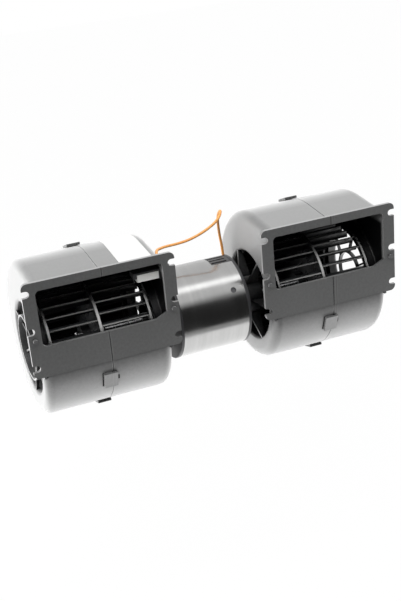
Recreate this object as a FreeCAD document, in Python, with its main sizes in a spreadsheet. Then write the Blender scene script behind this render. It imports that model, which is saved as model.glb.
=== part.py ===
import FreeCAD, Part
import math
import os
import Sketcher

# Twin centrifugal blower: two identical moulded volute housings stand either side of a
# sealed direct-current motor, and one long shaft carries a double-width wheel in each.
# Frame: +X along the shaft, -Y out of the air outlets, +Z up, millimetres.
# Origin: in the plane of the outlet flanges' front faces, midway between the two flanges
# and level with the shaft. Each body is drawn about the shaft and then set behind that
# plane, so the sketches' own coordinates are taken from the shaft's axis.

V = FreeCAD.Vector

doc = FreeCAD.newDocument("blower_motor")
dims = doc.addObject("Spreadsheet::Sheet", "dims")

SIZES = [
    # outlet flange, measured from its own outer edges and from the shaft's axis
    ("flange_width", 136.0, "width of one outlet flange"),
    ("flange_height", 87.4, "height of one outlet flange"),
    ("flange_top", 82.0, "height of the flange's top edge above the axis"),
    ("flange_front", 56.4, "distance of the flange's front face ahead of the axis"),
    ("flange_thick", 3.0, "thickness of the flange plate"),
    ("flange_corner", 5.0, "corner radius of the flange"),
    ("flange_gap", 82.8, "clear distance between the two flanges"),
    ("notch_depth", 6.5, "depth of a fixing notch"),
    ("notch_width", 6.2, "width of a fixing notch"),
    ("notch_first", 9.4, "upper notch below the flange's top edge"),
    ("notch_second", 43.7, "middle notch below the flange's top edge"),
    ("notch_third", 78.2, "lower notch below the flange's top edge"),
    ("pip_inset", 5.4, "locating pip from the flange's side edge"),
    ("pip_height", 30.0, "height of the locating pips above the axis"),
    ("pip_radius", 2.0, "radius of a locating pip"),
    ("pip_rise", 3.0, "how far a pip stands out of the flange"),
    # outlet opening
    ("opening_inset", 11.4, "opening's side edge from the flange's side edge"),
    ("opening_top", 74.0, "opening's top edge above the axis"),
    ("opening_height", 51.2, "height of the opening"),
    ("opening_corner", 4.0, "corner radius of the opening"),
    ("chamfer_wide", 10.5, "width of the chamfered lower corner"),
    ("chamfer_high", 5.0, "height of the chamfered lower corner"),
    # volute: three arcs drawn from the corners of a small square about the axis
    ("volute_radius", 60.0, "radius of the first arc, from the outlet's lip to the bottom"),
    ("volute_step", 8.8, "growth of the radius from one arc to the next"),
    ("duct_front_top", 77.6, "top wall's outer face above the axis, at the flange"),
    ("wall", 2.2, "wall of the moulded shells"),
    ("side_inset", 8.8, "shell's side face from the flange's side edge"),
    ("side_fillet", 8.0, "outer radius between the rim wall and the side face"),
    ("side_depth", 45.0, "breadth of side wall carried round with the rim"),
    ("side_plate_top", 68.0, "upper edge of the duct's side plate"),
    ("side_plate_low", 8.0, "lower edge of the duct's side plate, below the axis"),
    ("seam_from_left", 70.0, "joint between the two half shells, from the left edge"),
    ("joint_bevel", 0.45, "bevel along the outer edge of the joint"),
    ("knit", 1.0, "how far a feature reaches into the one it joins"),
    ("over", 1.0, "how far a cut runs past the face it leaves"),
    # snap clips that hold the half shells together
    ("clip_before", 9.3, "clip's reach before the joint"),
    ("clip_past", 3.2, "clip's reach past the joint"),
    ("clip_half", 8.0, "half the length of a clip round the rim"),
    ("clip_rise", 2.6, "how far a clip stands out of the rim"),
    ("clip_air", 0.3, "air under the clip's tongue"),
    ("clip_root", 1.2, "depth of the clip's root in the wall"),
    ("clip_slot", 2.0, "free length of the tongue before the joint"),
    ("clip_back", 1.1, "width of the slot behind a clip"),
    ("catch_half", 2.4, "half the length of the hole that a clip's hook snaps into"),
    ("catch_long", 2.2, "width of that hole beyond the tongue"),
    ("front_clip_at", 199.0, "direction of the front clip, from +Y towards +Z"),
    ("low_clip_at", 254.0, "direction of the lower clip"),
    ("top_clip_at", 68.0, "direction of the upper clip"),
    # air inlet in each side: bellmouth and spider
    ("nozzle_radius", 42.3, "inner radius of the inlet's bellmouth"),
    ("lip_radius", 3.0, "radius of the bellmouth's flared lip"),
    ("nozzle_end", 18.4, "bellmouth's inner end from the flange's side edge"),
    ("hub_radius", 17.5, "radius of the spider's hub"),
    ("hub_rise", 6.2, "how far the hub stands out of the side face"),
    ("hub_plate", 3.0, "thickness of the hub's plate"),
    ("hub_rim", 1.8, "thickness of the hub's rim"),
    ("hub_depth", 13.0, "length of the hub's rim along the shaft"),
    ("hub_bore", 7.6, "hole in the hub round the shaft"),
    ("arm_thick", 1.8, "thickness of a spider arm"),
    ("arm_tip_in", 0.1, "outer end of an arm inside the bellmouth's flare"),
    ("arm_root_depth", 12.0, "depth of an arm where it meets the hub"),
    ("arm_tip_set", 0.6, "outer end of an arm behind the side face"),
    ("arm_tip_long", 3.1, "length of an arm's end along the bellmouth's lip"),
    ("arm_tip_fall", 1.2, "fall of an arm's end along the bellmouth's lip"),
    ("arms", 6, "number of spider arms"),
    ("guard_hub", 19.5, "radius of the open ring that ends the arms of an outer inlet"),
    ("guard_rim", 1.8, "wall of that ring"),
    ("guard_deep", 3.2, "depth of that ring"),
    ("guard_root_deep", 2.6, "depth of an outer inlet's arm where it meets the ring"),
    ("left_guard_drop", 3.5, "ring behind the side face at the left end"),
    ("right_guard_drop", 7.3, "ring behind the side face at the right end"),
    ("hoop_radius", 30.5, "radius of the hoop across the left end's arms"),
    ("hoop_wall", 1.6, "wall of the hoop"),
    ("hoop_rise", 1.0, "how far the hoop stands out of the side face"),
    ("hoop_deep", 5.5, "hoop's inner edge behind the side face"),
    # wheels
    ("wheel_radius", 48.8, "outer radius of a wheel"),
    ("wheel_gap_left", 1.1, "wheel's left end from the bellmouth"),
    ("wheel_gap_right", 3.5, "wheel's right end from the bellmouth"),
    ("ring_wide", 5.3, "breadth of a wheel's end rings"),
    ("ring_thick", 2.0, "thickness of a wheel's end rings"),
    ("disc_thick", 2.4, "thickness of a wheel's middle disc"),
    ("wheel_hub", 9.0, "radius of a wheel's hub"),
    ("wheel_hub_short", 9.0, "hub's reach to the left of the wheel's middle"),
    ("wheel_hub_long", 13.0, "hub's reach to the right of the wheel's middle"),
    ("blade_count", 26, "blades in each half of a wheel"),
    ("blade_thick", 1.2, "thickness of a blade"),
    ("blade_curve", 7.6, "radius of a blade's curve"),
    ("blade_centre_in", 7.3, "centre of a blade's curve within the wheel's rim"),
    ("blade_centre_fore", 7.0, "centre of a blade's curve ahead of its radius"),
    ("blade_from", -113.0, "direction of the blade's inner end from that centre"),
    ("blade_to", -30.0, "direction of the blade's tip from that centre"),
    ("left_phase", 3.5, "turn of the left wheel's blades at rest"),
    ("right_phase", 10.4, "turn of the right wheel's blades at rest"),
    ("clip_ring", 1.3, "thickness of the spring ring on a wheel's hub"),
    ("clip_ring_wide", 4.0, "width of the spring ring"),
    ("clip_ring_set", 2.0, "spring ring from the hub's end"),
    # motor
    ("can_radius", 42.4, "outer radius of the motor's steel can"),
    ("can_wall", 1.6, "can's sheet thickness"),
    ("can_hole", 2.6, "radius of the round hole in the can"),
    ("can_hole_in", 10.8, "round hole from the can's right end"),
    ("can_hole_at", 34.0, "round hole's direction above the horizontal"),
    ("window_long", 20.1, "length of the vent notch along the shaft"),
    ("window_half", 9.2, "half the width of the vent notch"),
    ("vent_play", 0.15, "play round the vent insert"),
    ("vent_skirt", 1.5, "reach and thickness of the vent insert's skirt"),
    ("vent_slot", 2.6, "width of a slot in the vent insert"),
    ("vent_pitch", 5.6, "distance from slot to slot"),
    ("vent_edge", 1.4, "frame left at both ends of the slots"),
    ("vent_set", 0.4, "vent insert's face below the can's surface"),
    ("plate_thick", 3.0, "thickness of the motor's end plates"),
    ("plate_spigot", 2.0, "depth of an end plate's spigot in the can"),
    ("spigot_thick", 2.5, "thickness of that spigot"),
    ("plate_bevel", 0.5, "bevel round an end plate"),
    ("boss_radius", 19.0, "radius of the bearing boss"),
    ("left_boss", 4.0, "length of the left bearing boss"),
    ("right_boss", 7.5, "length of the right bearing boss"),
    ("rubber_thick", 3.0, "thickness of a rubber ring"),
    ("shaft_radius", 4.0, "radius of the shaft"),
    ("shaft_past", 5.0, "shaft's end past a wheel's hub"),
    ("shaft_bevel", 0.6, "bevel at the shaft's ends"),
    ("bearing_radius", 9.5, "outer radius of a bearing"),
    ("bearing_wide", 5.0, "width of a bearing"),
    ("shield_set", 0.4, "depth of a bearing's shields"),
    ("boss_spigot", 12.0, "radius of the boss's spigot in the end plate"),
    ("boss_bore", 7.0, "bore of the boss inside the bearing"),
    ("ring_bore", 8.0, "bore of the rubber ring"),
    ("ring_radius", 17.0, "radius of the rubber ring"),
    ("seat_play", 0.03, "play of a pressed or seated round fit"),
    ("run_play", 0.05, "play of the shaft in its bearings"),
    ("screw_circle", 12.6, "radius of the circle of motor screws"),
    ("screw_radius", 2.0, "radius of a motor screw"),
    ("screw_head", 3.0, "radius of a screw head"),
    ("screw_head_high", 2.4, "height of a screw head"),
    ("screw_hole", 2.2, "clearance hole for a motor screw"),
    ("screw_spare", 0.4, "tapped hole past the screw's end"),
    ("screw_bite", 3.0, "how far a screw reaches into the boss"),
    ("screws", 3, "screws at each end of the motor"),
    # inside the motor
    ("core_radius", 29.0, "radius of the armature's core"),
    ("brush_room", 22.0, "core from the can's left end"),
    ("coil_room", 8.5, "core from the can's right end"),
    ("slot_count", 12, "slots in the core"),
    ("slot_wide", 4.0, "width of a slot"),
    ("slot_deep", 13.0, "depth of a slot"),
    ("coil_radius", 24.0, "radius of the winding's end turns"),
    ("coil_bore", 10.0, "inner radius of the end turns"),
    ("coil_length", 6.5, "length of the end turns"),
    ("coil_play", 0.15, "play of the winding in its slots"),
    ("coil_gap", 0.5, "gap between the end turns and the commutator"),
    ("commutator_radius", 12.0, "radius of the commutator"),
    ("commutator_gap", 1.0, "commutator from the left end plate"),
    ("magnet_inner", 30.0, "inner radius of the magnets"),
    ("magnet_past", 4.0, "magnets' reach past the core"),
    ("magnet_angle", 120.0, "angle that each magnet covers"),
    ("card_thick", 1.6, "thickness of the brush card"),
    ("card_bore", 14.0, "hole in the brush card"),
    ("card_play", 0.4, "play of the brush card in the can"),
    ("guide_half", 4.2, "half the width of a brush guide"),
    ("guide_from", 14.5, "inner end of a brush guide"),
    ("guide_to", 33.0, "outer end of a brush guide"),
    ("guide_gap", 3.5, "brush guides from the winding"),
    ("guide_cap", 1.5, "thickness of a brush guide's closed end"),
    ("brush_half", 2.5, "half the side of a square brush"),
    ("brush_play", 0.1, "play of a brush in its guide"),
    ("brush_gap", 0.05, "air between a brush and the commutator"),
    ("brush_long", 11.0, "length of a brush"),
    ("spring_outer", 2.2, "outer radius of a brush spring"),
    ("spring_inner", 1.5, "inner radius of a brush spring"),
    # speed resistor in the left outlet, its holder and the lead
    ("resistor_long", 20.0, "length of the ceramic resistor"),
    ("resistor_deep", 10.0, "depth of the resistor"),
    ("resistor_high", 7.0, "height of the resistor"),
    ("resistor_back", 35.0, "resistor's rear face ahead of the axis"),
    ("resistor_base", 56.0, "underside of the resistor above the axis"),
    ("holder_margin", 3.0, "how far the plate reaches past the resistor"),
    ("holder_out", 6.6, "depth of the holder's outer block"),
    ("holder_play", 0.1, "play of the holder in the shell"),
    ("neck_reach", 0.8, "holder's neck past the inner face of the shell"),
    ("resistor_lip", 0.4, "holder past the resistor's front and rear"),
    ("resistor_fit", 0.2, "play at the resistor's free end"),
    ("holder_floor", 1.0, "holder's neck below the resistor"),
    ("tray_thick", 1.6, "thickness of the tray over the resistor"),
    ("plug_long", 8.0, "length of the lead's plug"),
    ("plug_top", 61.0, "top of the plug above the axis"),
    ("plug_high", 6.0, "height of the plug"),
    ("plug_set", 0.3, "plug's side from the shell and from the holder's outer face"),
    ("lead_radius", 1.3, "radius of the orange lead"),
    ("grommet_radius", 3.2, "radius of the lead's grommet"),
    ("grommet_long", 3.0, "length of the grommet"),
    ("grommet_in", 7.3, "grommet's centre within the can's rim"),
    ("grommet_at", 20.0, "grommet's direction above the horizontal, at the rear"),
    # label
    ("label_left", 89.4, "label's left edge from the flange's left edge"),
    ("label_wide", 29.6, "width of the label along the shaft"),
    ("label_run", 38.0, "length of the label along the duct's flat top wall"),
    ("label_thick", 0.3, "thickness of the label"),
    ("label_end_at", 76.0, "direction in which the label ends on the rim"),
]

# places and sizes that follow from the ones above
DERIVED = [
    ("can_left", "=flange_gap / 2 + side_inset - hub_rise - rubber_thick - left_boss"
     " - plate_thick", "can's left end from the middle"),
    ("can_right", "=flange_gap / 2 + side_inset - hub_rise - rubber_thick - right_boss"
     " - plate_thick", "can's right end from the middle"),
    ("can_hole_x", "=can_right - can_hole_in", "round hole along the shaft"),
    ("window_start", "=can_right - window_long", "start of the vent notch"),
    ("core_left", "=brush_room - can_left", "left end of the core"),
    ("core_right", "=can_right - coil_room", "right end of the core"),
    ("commutator_left", "=commutator_gap - can_left", "left end of the commutator"),
    ("magnet_left", "=core_left - magnet_past", "left end of the magnets"),
    ("magnet_right", "=core_right + magnet_past", "right end of the magnets"),
    ("card_radius", "=can_radius - can_wall - card_play", "radius of the brush card"),
    ("grommet_y", "=(can_radius - grommet_in) * cos(grommet_at)", "grommet behind the axis"),
    ("grommet_z", "=(can_radius - grommet_in) * sin(grommet_at)", "grommet above the axis"),
    ("arm_tip", "=nozzle_radius + lip_radius - arm_tip_in", "outer end of a spider arm"),
    ("wheel_start", "=nozzle_end + wheel_gap_left",
     "wheel's left end from the flange's left edge"),
    ("wheel_mid", "=(flange_width + wheel_gap_left - wheel_gap_right) / 2",
     "middle of the wheel from the flange's left edge"),
    ("ring_inner", "=wheel_radius - ring_wide", "inner radius of a wheel's end rings"),
    ("blade_centre_out", "=wheel_radius - blade_centre_in",
     "centre of a blade's curve from the axis"),
    ("shaft_left", "=flange_gap / 2 + flange_width - wheel_mid + wheel_hub_short"
     " + shaft_past", "shaft's left end from the middle"),
    ("shaft_right", "=flange_gap / 2 + wheel_mid + wheel_hub_long + shaft_past",
     "shaft's right end from the middle"),
    ("top_turn",
     "=atan2(duct_front_top - volute_step / 2; volute_step - volute_radius)"
     " - acos((volute_radius + 2 * volute_step)"
     " / sqrt((duct_front_top - volute_step / 2) ^ 2"
     " + (volute_step - volute_radius) ^ 2))",
     "direction where the rim turns into the flat top wall"),
]

for row, (alias, value, meaning) in enumerate(SIZES + DERIVED, start=1):
    dims.set("A%d" % row, alias)
    dims.set("B%d" % row, str(value))
    dims.setAlias("B%d" % row, alias)
    dims.set("C%d" % row, meaning)
doc.recompute()

NODES = []


def number(expression):
    """The value of a sheet expression, in millimetres or degrees."""
    value = dims.evalExpression(expression)
    return float(getattr(value, "Value", value))


def new_body(label, base_x="0", loose=False):
    """A body of its own, drawn about the shaft and moved along it by base_x."""
    body = doc.addObject("PartDesign::Body", label)
    body.Label = label
    body.AllowCompound = loose
    body.setExpression("Placement.Base.x", base_x)
    body.setExpression("Placement.Base.y", "dims.flange_front")
    NODES.append(body)
    return body


def origin_part(body, role):
    return next(item for item in body.Origin.OriginFeatures if item.Role == role)


def new_sketch(body, name, role, offset="0", turn_axis=None, turn="0"):
    """A sketch on one of the body's origin planes, moved along the plane's normal."""
    sketch = body.newObject("Sketcher::SketchObject", body.Label + "_" + name)
    sketch.AttachmentSupport = [(origin_part(body, role), "")]
    sketch.MapMode = "FlatFace"
    if turn_axis is not None:
        sketch.AttachmentOffset = FreeCAD.Placement(V(0, 0, 0),
                                                    FreeCAD.Rotation(turn_axis, number(turn)))
        sketch.setExpression("AttachmentOffset.Rotation.Angle", turn)
    sketch.setExpression("AttachmentOffset.Base.z", offset)
    return sketch


def bind(sketch, kind, geometry, point, expression):
    """Tie a point's distance from the sketch's origin to the sheet."""
    index = sketch.addConstraint(
        Sketcher.Constraint(kind, -1, 1, geometry, point, number(expression)))
    sketch.setExpression("Constraints[%d]" % index, expression)


def bind_radius(sketch, geometry, expression):
    index = sketch.addConstraint(Sketcher.Constraint("Radius", geometry, number(expression)))
    sketch.setExpression("Constraints[%d]" % index, expression)


def outline(sketch, corners):
    """A closed outline. Each corner is (u, v) before a straight side, or
    (u, v, centre_u, centre_v, turn) before an arc that turns +1 or -1."""
    first = sketch.GeometryCount
    count = len(corners)
    points = [V(number(corner[0]), number(corner[1]), 0) for corner in corners]
    starts = []
    ends = []
    for index, corner in enumerate(corners):
        here = points[index]
        there = points[(index + 1) % count]
        if len(corner) == 2:
            sketch.addGeometry(Part.LineSegment(here, there), False)
            starts.append(1)
            ends.append(2)
            continue
        centre = V(number(corner[2]), number(corner[3]), 0)
        angles = [math.atan2(p.y - centre.y, p.x - centre.x) for p in (here, there)]
        if corner[4] < 0:
            angles.reverse()
        if angles[1] < angles[0]:
            angles[1] += 2 * math.pi
        circle = Part.Circle(centre, V(0, 0, 1), (here - centre).Length)
        sketch.addGeometry(Part.ArcOfCircle(circle, angles[0], angles[1]), False)
        starts.append(1 if corner[4] > 0 else 2)
        ends.append(2 if corner[4] > 0 else 1)
    for index in range(count):
        after = (index + 1) % count
        sketch.addConstraint(Sketcher.Constraint(
            "Coincident", first + index, ends[index], first + after, starts[after]))
    for index, corner in enumerate(corners):
        bind(sketch, "DistanceX", first + index, starts[index], corner[0])
        bind(sketch, "DistanceY", first + index, starts[index], corner[1])
        if len(corner) > 2:
            chord = points[(index + 1) % count] - points[index]
            if abs(chord.x) > abs(chord.y):
                bind(sketch, "DistanceY", first + index, 3, corner[3])
            else:
                bind(sketch, "DistanceX", first + index, 3, corner[2])


def box_outline(sketch, u0, u1, v0, v1):
    outline(sketch, [(u0, v0), (u1, v0), (u1, v1), (u0, v1)])


def circle(sketch, u, v, radius):
    place = V(number(u), number(v), 0)
    index = sketch.addGeometry(Part.Circle(place, V(0, 0, 1), number(radius)), False)
    bind(sketch, "DistanceX", index, 3, u)
    bind(sketch, "DistanceY", index, 3, v)
    bind_radius(sketch, index, radius)


def feature(body, kind, name, sketch):
    made = body.newObject("PartDesign::" + kind, body.Label + "_" + name)
    made.Profile = sketch
    return made


def pad(body, name, sketch, length, back=False, middle=False):
    made = feature(body, "Pad", name, sketch)
    made.setExpression("Length", length)
    made.Reversed = back
    made.Midplane = middle
    return made


def pocket(body, name, sketch, depth, along=False):
    """A pocket against the sketch's normal, or along it."""
    made = feature(body, "Pocket", name, sketch)
    made.setExpression("Length", depth)
    made.Reversed = along
    return made


def revolve(body, name, sketch, angle="360", middle=False):
    """A turned piece about the sketch's horizontal axis, which is the shaft's."""
    made = feature(body, "Revolution", name, sketch)
    made.ReferenceAxis = (sketch, ["H_Axis"])
    made.setExpression("Angle", angle)
    made.Midplane = middle
    return made


def turned(body, name, corners, angle="360", middle=False, front=False):
    """A turned solid from (x, radius) corners."""
    sketch = new_sketch(body, name + "_profile", "XY_Plane")
    sign = "-" if front else ""
    outline(sketch, [(x, sign + "(" + r + ")") for x, r in corners])
    return revolve(body, name, sketch, angle, middle)


def round_pattern(body, name, features, count):
    """Repeat features evenly about the shaft's axis."""
    made = body.newObject("PartDesign::PolarPattern", body.Label + "_" + name)
    made.Originals = features
    made.Axis = (origin_part(body, "X_Axis"), [""])
    made.Angle = 360
    made.setExpression("Occurrences", count)
    body.Tip = made
    return made


HALF_STEP = "dims.volute_step / 2"
LEFT_BASE = "-dims.flange_gap / 2 - dims.flange_width"
RIGHT_BASE = "dims.flange_gap / 2"
ARC_CENTRES = {
    "first": (HALF_STEP, "-" + HALF_STEP, "dims.volute_radius"),
    "third": ("-" + HALF_STEP, HALF_STEP, "dims.volute_radius + 2 * dims.volute_step"),
}


def volute_path(body):
    """The rim's outline: three tangent arcs of growing radius, then the outlet's top wall."""
    path = new_sketch(body, "volute", "YZ_Plane")
    step = number("dims.volute_step")
    low = number("dims.volute_radius")
    half = step / 2
    arcs = []
    for place, radius, start, end in (((half, -half), low, 180, 270),
                                      ((half, half), low + step, 270, 360),
                                      ((-half, half), low + 2 * step, 0, 95)):
        rim = Part.Circle(V(place[0], place[1], 0), V(0, 0, 1), radius)
        arcs.append(path.addGeometry(
            Part.ArcOfCircle(rim, math.radians(start), math.radians(end)), False))
    last = V(-half, half + low + 2 * step, 0)
    mouth = V(half - low, number("dims.duct_front_top"), 0)
    top = path.addGeometry(Part.LineSegment(last, mouth), False)
    for arc, centre_u, centre_v in ((arcs[0], HALF_STEP, "-" + HALF_STEP),
                                    (arcs[1], HALF_STEP, HALF_STEP),
                                    (arcs[2], "-" + HALF_STEP, HALF_STEP)):
        bind(path, "DistanceX", arc, 3, centre_u)
        bind(path, "DistanceY", arc, 3, centre_v)
    rule = Sketcher.Constraint
    path.addConstraint(rule("Coincident", arcs[0], 2, arcs[1], 1))
    path.addConstraint(rule("Coincident", arcs[1], 2, arcs[2], 1))
    path.addConstraint(rule("Tangent", arcs[2], 2, top, 1))
    bind_radius(path, arcs[0], "dims.volute_radius")
    path.addConstraint(rule("Vertical", arcs[0], 3, arcs[0], 2))
    path.addConstraint(rule("Horizontal", arcs[1], 3, arcs[1], 2))
    path.addConstraint(rule("Horizontal", arcs[0], 3, arcs[0], 1))
    path.addConstraint(rule("Vertical", top, 2, arcs[0], 1))
    bind(path, "DistanceY", top, 2, "dims.duct_front_top")
    return path


def rim_point(arc, at, rise, along):
    """A point in the YZ plane near the rim: rise outwards and along the rim from the
    direction at, seen from the centre of one of the volute's arcs."""
    centre_u, centre_v, radius = ARC_CENTRES[arc]
    reach = "(%s + %s)" % (radius, rise)
    u = "%s + %s * cos(%s) - (%s) * sin(%s)" % (centre_u, reach, at, along, at)
    v = "%s + %s * sin(%s) + (%s) * cos(%s)" % (centre_v, reach, at, along, at)
    return u, v


def half_shell(label, base_x, left_half, guard_drop=None):
    """One moulded half of a volute housing, with its half of the outlet flange and the inlet
    bellmouth. Next to the motor a spider carries the hub that the motor is screwed to. At
    the blower's ends, where guard_drop is given, arms lead to an open ring behind the side
    face. Distances run from the flange's own side edge to the joint."""
    body = new_body(label, base_x)
    seam = "dims.seam_from_left"
    if not left_half:
        seam = "(dims.flange_width - dims.seam_from_left)"

    def at(expression):
        if left_half:
            return expression
        return "dims.flange_width - (" + expression + ")"

    # rim wall, corner and side wall carried round the volute in one sweep
    turn = 1 if left_half else -1
    rim = "(dims.volute_step / 2 - dims.volute_radius)"
    bend = at("dims.side_inset + dims.side_fillet")
    side = at("dims.side_inset")
    inner = at("dims.side_inset + dims.wall")
    bend_v = rim + " + dims.side_fillet"
    section = new_sketch(body, "section", "XY_Plane", "-dims.volute_step / 2")
    outline(section, [
        (at(seam + " - dims.joint_bevel"), rim),
        (bend, rim, bend, bend_v, -turn),
        (side, bend_v),
        (side, rim + " + dims.side_depth"),
        (inner, rim + " + dims.side_depth"),
        (inner, bend_v, bend, bend_v, turn),
        (bend, rim + " + dims.wall"),
        (at(seam), rim + " + dims.wall"),
        (at(seam), rim + " + dims.joint_bevel"),
    ])
    path = volute_path(body)
    doc.recompute()
    sweep = feature(body, "AdditivePipe", "rim", section)
    sweep.Spine = (path, ["Edge1", "Edge2", "Edge3", "Edge4"])
    sweep.Mode = "Binormal"
    sweep.Binormal = V(1, 0, 0)

    # side plate of the outlet duct
    plate = new_sketch(body, "duct_side", "YZ_Plane", side)
    box_outline(plate, "dims.flange_thick / 2 - dims.flange_front", "0",
                "-dims.side_plate_low", "dims.side_plate_top")
    pad(body, "duct_side_plate", plate, "dims.wall", back=not left_half)

    # outlet flange with its three open notches
    low = "dims.flange_top - dims.flange_height"
    corner = "dims.flange_corner"
    flange = new_sketch(body, "flange", "XZ_Plane", "dims.flange_front")
    corners = [(at(seam), "dims.flange_top"),
               (at(corner), "dims.flange_top", at(corner), "dims.flange_top - " + corner, turn)]
    corners.append((at("0"), "dims.flange_top - " + corner))
    half_notch = "dims.notch_width / 2"
    bottom = "dims.notch_depth - dims.notch_width / 2"
    for drop in ("dims.notch_first", "dims.notch_second", "dims.notch_third"):
        height = "dims.flange_top - " + drop
        corners.append((at("0"), height + " + " + half_notch))
        corners.append((at(bottom), height + " + " + half_notch, at(bottom), height, -turn))
        corners.append((at(bottom), height + " - " + half_notch))
        corners.append((at("0"), height + " - " + half_notch))
    corners.append((at("0"), low + " + " + corner, at(corner), low + " + " + corner, turn))
    corners.append((at(corner), low))
    corners.append((at(seam), low))
    outline(flange, corners)
    pad(body, "flange_plate", flange, "dims.flange_thick", back=True)

    # outlet opening, square to the flange
    ceiling = "dims.opening_top"
    sill = "dims.opening_top - dims.opening_height"
    edge = "dims.opening_inset"
    mouth = new_sketch(body, "opening", "XZ_Plane", "dims.flange_front")
    soft = "dims.opening_corner"
    corners = [(at(seam + " + dims.over"), sill),
               (at(seam + " + dims.over"), ceiling),
               (at(edge + " + " + soft), ceiling,
                at(edge + " + " + soft), ceiling + " - " + soft, turn),
               (at(edge), ceiling + " - " + soft)]
    if left_half:
        corners.append((at(edge), sill + " + " + soft,
                        at(edge + " + " + soft), sill + " + " + soft, turn))
        corners.append((at(edge + " + " + soft), sill))
    else:
        corners.append((at(edge), sill + " + dims.chamfer_high"))
        corners.append((at(edge + " + dims.chamfer_wide"), sill))
    outline(mouth, corners)
    pocket(body, "outlet", mouth, "2 * dims.flange_thick + dims.over")

    # bevelled joint line down the flange's face
    line = new_sketch(body, "joint_line", "XZ_Plane", "dims.flange_front")
    box_outline(line, at(seam + " - dims.joint_bevel"), at(seam + " + dims.over"),
                low + " - dims.over", "dims.flange_top + dims.over")
    pocket(body, "joint_line_cut", line, "dims.joint_bevel")

    # locating pip below the middle notch
    pip = new_sketch(body, "pip", "XZ_Plane", "dims.flange_front")
    circle(pip, at("dims.pip_inset"), "dims.pip_height", "dims.pip_radius")
    pad(body, "pip_rise", pip, "dims.pip_rise")

    # air inlet: hole, flared bellmouth, and the spider's hub and arms
    hole = new_sketch(body, "inlet", "YZ_Plane", side)
    circle(hole, "0", "0", "dims.nozzle_radius + dims.lip_radius + dims.knit / 2")
    pocket(body, "inlet_hole", hole, "dims.wall + dims.over", along=left_half)

    lip = "(dims.side_inset + dims.lip_radius)"
    flare = "(dims.nozzle_radius + dims.lip_radius)"
    bell = new_sketch(body, "bellmouth_profile", "XY_Plane")
    outline(bell, [
        (side, flare, at(lip), flare, turn),
        (at(lip), "dims.nozzle_radius"),
        (at("dims.nozzle_end"), "dims.nozzle_radius"),
        (at("dims.nozzle_end"), "dims.nozzle_radius + dims.wall"),
        (at(lip), "dims.nozzle_radius + dims.wall", at(lip), flare, -turn),
        (inner, flare),
        (inner, flare + " + 2 * dims.knit"),
        (side, flare + " + 2 * dims.knit"),
    ])
    revolve(body, "bellmouth", bell)

    if guard_drop:
        out = "(dims.side_inset + %s)" % guard_drop
        hub, rim_wall, root_deep = "dims.guard_hub", "dims.guard_rim", "dims.guard_root_deep"
        arm_turn = "180 / dims.arms"
    else:
        out = "(dims.side_inset - dims.hub_rise)"
        hub, rim_wall, root_deep = "dims.hub_radius", "dims.hub_rim", "dims.arm_root_depth"
        arm_turn = "0"
    arm = new_sketch(body, "arm", "XY_Plane", "0", V(1, 0, 0), arm_turn)
    root = "-(%s - %s / 2)" % (hub, rim_wall)
    outline(arm, [
        (at(out), root),
        (at(out + " + " + root_deep), root),
        (at("dims.side_inset + dims.arm_tip_set + dims.arm_tip_long"),
         "-(dims.arm_tip - dims.arm_tip_fall)"),
        (at("dims.side_inset + dims.arm_tip_set"), "-dims.arm_tip"),
    ])
    first_arm = pad(body, "first_arm", arm, "dims.arm_thick", middle=True)
    round_pattern(body, "spider", [first_arm], "dims.arms")
    if guard_drop:
        turned(body, "hub", [
            (at(out), hub), (at(out + " + dims.guard_deep"), hub),
            (at(out + " + dims.guard_deep"), hub + " - " + rim_wall),
            (at(out), hub + " - " + rim_wall)])
        if left_half:
            proud = at("dims.side_inset - dims.hoop_rise")
            back = at("dims.side_inset + dims.hoop_deep")
            turned(body, "hoop", [
                (proud, "dims.hoop_radius"), (back, "dims.hoop_radius"),
                (back, "dims.hoop_radius - dims.hoop_wall"),
                (proud, "dims.hoop_radius - dims.hoop_wall")])
    else:
        turned(body, "hub", [
            (at(out), "dims.hub_bore"),
            (at(out), hub),
            (at(out + " + dims.hub_depth"), hub),
            (at(out + " + dims.hub_depth"), hub + " - " + rim_wall),
            (at(out + " + dims.hub_plate"), hub + " - " + rim_wall),
            (at(out + " + dims.hub_plate"), "dims.hub_bore"),
        ])
        bolt = new_sketch(body, "screw_hole", "YZ_Plane", at(out))
        circle(bolt, "0", "dims.screw_circle", "dims.screw_hole")
        first_hole = pocket(body, "first_screw_hole", bolt, "dims.hub_plate + dims.over",
                            along=left_half)
        round_pattern(body, "screw_holes", [first_hole], "dims.screws")

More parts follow.
